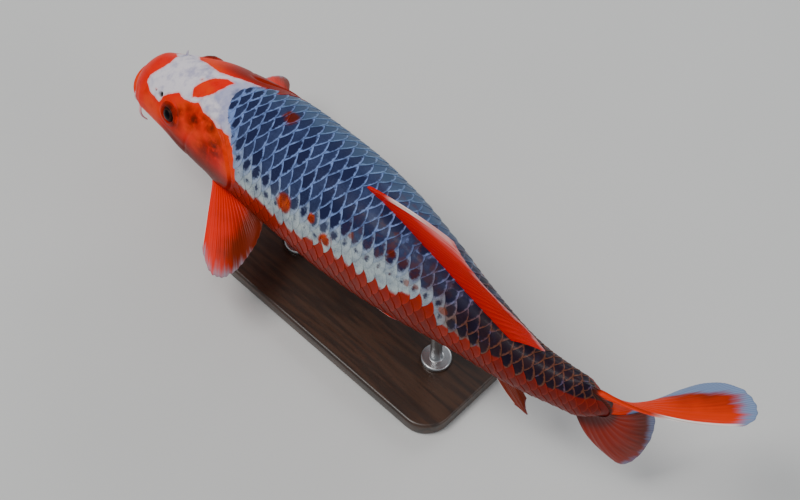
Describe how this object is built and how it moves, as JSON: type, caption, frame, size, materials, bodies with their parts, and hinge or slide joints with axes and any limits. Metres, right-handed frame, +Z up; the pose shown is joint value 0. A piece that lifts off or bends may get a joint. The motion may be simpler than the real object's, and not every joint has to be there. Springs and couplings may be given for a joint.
{
  "type": "koi carp",
  "caption": "Life-size still model of a koi carp, bent as it swims, held over a flat base by rods.",
  "frame": {"origin": "middle of the stand base's flat underside, on the floor", "axes": "+X along the trunk towards the tail, -Y to the fish's left side, +Z up"},
  "size_m": [0.5979, 0.1898, 0.2182],
  "materials": {
    "red_skin": "wet satin skin",
    "white_skin": "wet satin skin",
    "blue_scales": "satin scales with pale edges",
    "dark_scales": "satin scales with dark red edges",
    "fin": "thin ribbed fin, satin",
    "eye": "wet gloss",
    "stand_wood": "dark satin wood",
    "stand_steel": "brushed"
  },
  "bodies": {
    "root": {"head": "white_skin", "gill_cover_left": "red_skin", "gill_cover_right": "red_skin", "upper_lip": "red_skin", "lower_lip": "red_skin", "barbel_long_left": "red_skin", "barbel_long_right": "red_skin", "barbel_short_left": "red_skin", "barbel_short_right": "red_skin", "eye_left": "eye", "eye_right": "eye", "nostril_flap_left": "white_skin", "nostril_flap_right": "white_skin", "shoulder": "blue_scales", "trunk_middle": "blue_scales", "trunk_rear": "dark_scales", "tail_stalk": "dark_scales", "dorsal_fin": "fin", "anal_fin": "fin", "pectoral_fin_left": "fin", "pectoral_fin_right": "fin", "pelvic_fin_left": "fin", "pelvic_fin_right": "fin", "tail_fin_upper": "fin", "tail_fin_lower": "fin", "stand_base": "stand_wood", "stand_rod_front": "stand_steel", "stand_rod_rear": "stand_steel"}
  },
  "joints": []
}
